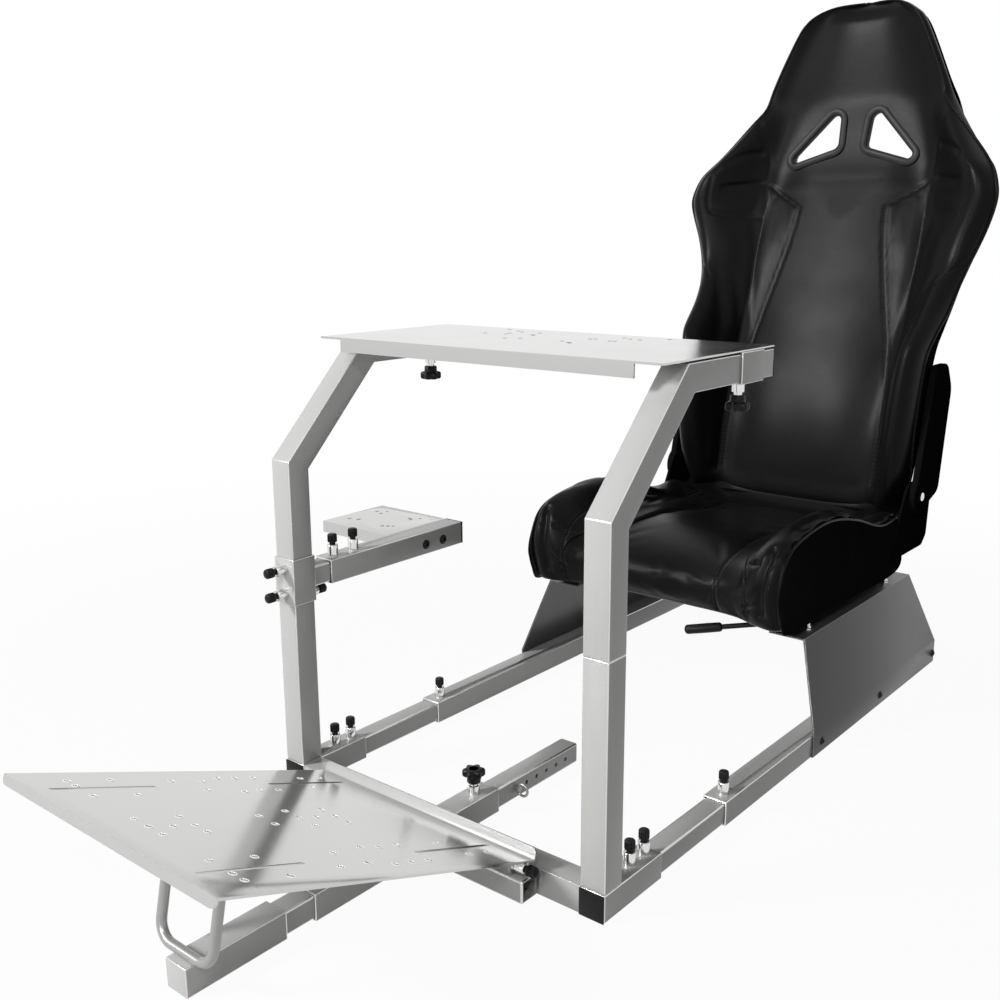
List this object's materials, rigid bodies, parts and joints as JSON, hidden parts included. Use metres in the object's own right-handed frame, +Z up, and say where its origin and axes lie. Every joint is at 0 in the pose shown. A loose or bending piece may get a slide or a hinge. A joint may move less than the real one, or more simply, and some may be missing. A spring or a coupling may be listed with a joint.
{
  "type": "sim racing cockpit",
  "caption": "Telescoping square-tube driving rig with a reclining bucket seat on sliders, a wheel deck, a tilting pedal plate and an outboard shifter tray.",
  "frame": {"origin": "on the floor under the middle of the front cross tube", "axes": "+Z up, the driver faces -Y, +X is the driver's left"},
  "size_m": [0.7765, 1.9173, 1.293],
  "materials": {
    "tube_steel": "satin silver tube",
    "plate_steel": "polished silver sheet",
    "bracket_steel": "satin grey sheet",
    "bright_steel": "bright plated",
    "black_metal": "black paint",
    "black_plastic": "moulded black",
    "trim_plastic": "satin black",
    "seat_leather": "black grained leatherette",
    "seat_back_vinyl": "plain black vinyl"
  },
  "bodies": {
    "front_frame": {"front_cross_tube": "tube_steel", "base_sleeves": "tube_steel", "lower_post_left": "tube_steel", "lower_post_right": "tube_steel", "wheel_arm_left": "tube_steel", "wheel_arm_right": "tube_steel", "inner_rails": "tube_steel", "frame_end_caps": "black_plastic", "sleeve_thumbscrews": "black_plastic", "pedal_guide_sleeve": "tube_steel", "pedal_star_knob": "black_plastic"},
    "seat_frame": {"rear_rail_left": "tube_steel", "rear_rail_right": "tube_steel", "seat_bracket_left": "bracket_steel", "seat_bracket_right": "bracket_steel", "slider_channels": "black_metal", "rail_end_caps": "black_plastic", "rail_thumbscrews": "black_plastic"},
    "seat_base": {"slider_runners": "black_metal", "seat_pan": "black_metal", "cushion_pad": "seat_leather", "cushion_bolster_left": "seat_leather", "cushion_bolster_right": "seat_leather", "recliner_plates": "black_metal"},
    "release_lever": {"slider_lever": "black_metal"},
    "backrest": {"backrest_pad": "seat_leather", "backrest_wing_left": "seat_leather", "backrest_wing_right": "seat_leather", "headrest_pad": "seat_leather", "backrest_shell": "seat_back_vinyl", "harness_bezels": "trim_plastic", "recliner_covers": "trim_plastic", "recliner_pins": "bright_steel"},
    "wheel_deck": {"wheel_plate": "plate_steel", "deck_sleeves": "tube_steel", "deck_star_knobs": "black_plastic"},
    "shifter_mount": {"shifter_clamp": "tube_steel", "shifter_stub": "tube_steel", "clamp_thumbscrews": "black_plastic"},
    "shifter_carrier": {"shifter_arm": "tube_steel", "arm_thumbscrews": "black_plastic", "arm_end_cap": "black_plastic", "shifter_tray": "plate_steel"},
    "pedal_carriage": {"pedal_slide_tube": "tube_steel", "ring_pin": "bright_steel", "pedal_cross_tube": "tube_steel", "hinge_thumbscrews": "black_plastic", "foot_guide_sleeve": "tube_steel", "foot_star_knob": "black_plastic"},
    "pedal_foot": {"foot_inner_tube": "tube_steel", "foot_tube": "tube_steel", "foot_leg": "tube_steel"},
    "pedal_deck": {"pedal_plate": "plate_steel"}
  },
  "joints": [
    {"name": "frame_length", "type": "slide", "parent": "front_frame", "child": "seat_frame", "axis": [0, 1, 0], "range_m": [-0.12, 0.15]},
    {"name": "seat_slide", "type": "slide", "parent": "seat_frame", "child": "seat_base", "axis": [0, 1, 0], "range_m": [-0.06, 0.09]},
    {"name": "release_lift", "type": "hinge", "parent": "seat_base", "child": "release_lever", "pos_m": [0.185, 0.6065, 0.1967], "axis": [-1, 0, 0], "range_deg": [0, 12], "stiffness_Nm_per_rad": 2, "springref_deg": -11.46},
    {"name": "backrest_recline", "type": "hinge", "parent": "seat_base", "child": "backrest", "pos_m": [0, 1.0795, 0.343], "axis": [-1, 0, 0], "range_deg": [-20, 50]},
    {"name": "deck_slide", "type": "slide", "parent": "front_frame", "child": "wheel_deck", "axis": [0, 1, 0], "range_m": [-0.1, 0.03]},
    {"name": "shifter_height", "type": "slide", "parent": "front_frame", "child": "shifter_mount", "axis": [0, 0, 1], "range_m": [-0.15, 0.12]},
    {"name": "shifter_reach", "type": "slide", "parent": "shifter_mount", "child": "shifter_carrier", "axis": [0, 1, 0], "range_m": [-0.028, 0.06]},
    {"name": "pedal_slide", "type": "slide", "parent": "front_frame", "child": "pedal_carriage", "axis": [0, -1, 0], "range_m": [0, 0.035]},
    {"name": "foot_slide", "type": "slide", "parent": "pedal_carriage", "child": "pedal_foot", "axis": [0, -1, 0], "range_m": [-0.03, 0.03]},
    {"name": "pedal_tilt", "type": "hinge", "parent": "pedal_carriage", "child": "pedal_deck", "pos_m": [0, -0.0399, 0.045], "axis": [-1, 0, 0], "range_deg": [-2, 2]}
  ],
  "couplings": [
    {"joint": "pedal_tilt", "follows": "foot_slide", "rad_per_m": -0.94}
  ]
}
